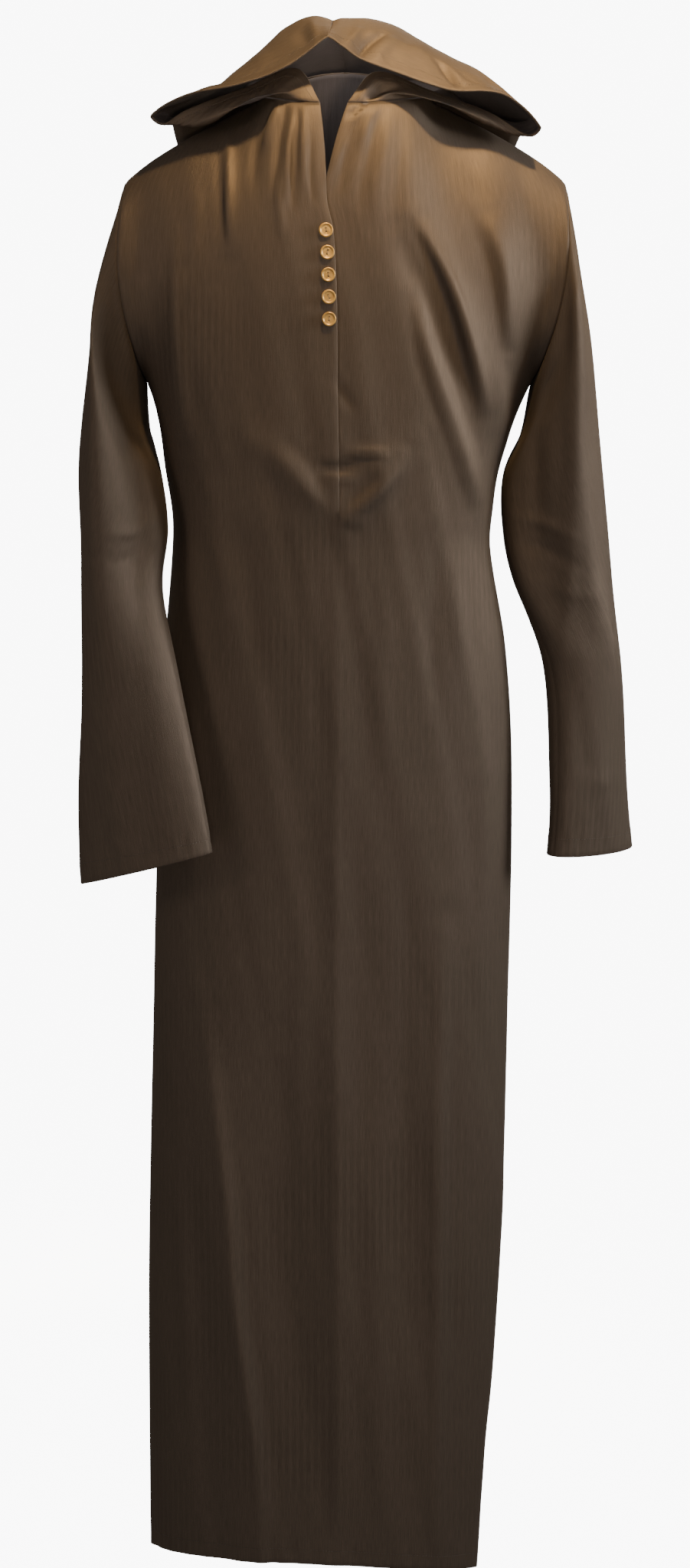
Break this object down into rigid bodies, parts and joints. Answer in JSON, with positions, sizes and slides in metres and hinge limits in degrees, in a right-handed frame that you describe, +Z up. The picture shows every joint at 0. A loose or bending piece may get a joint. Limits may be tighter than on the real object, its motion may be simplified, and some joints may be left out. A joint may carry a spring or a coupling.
{
  "type": "hooded thobe",
  "caption": "Ankle-length hooded robe with long sleeves, an open neck slit and a buttoned front placket, hollow and filled out as worn.",
  "frame": {"origin": "middle of the neck, a little below the neck ends of the shoulder seams, where the wearer's neck and shoulders hold the garment up", "axes": "+Z up, -Y is the front with the placket, +X is to the right of someone who faces the front"},
  "size_m": [0.5484, 0.3036, 1.5699],
  "materials": {
    "cloth": "fine dark brown cotton satin with narrow tonal stripes",
    "buttons": "soft gloss, pale gold"
  },
  "bodies": {
    "root": {"front": "cloth", "back": "cloth", "placket_underlap": "cloth", "sleeve_left": "cloth", "sleeve_right": "cloth", "hood_left": "cloth", "hood_right": "cloth", "button_1": "buttons", "button_2": "buttons", "button_3": "buttons", "button_4": "buttons", "button_5": "buttons"}
  },
  "joints": []
}
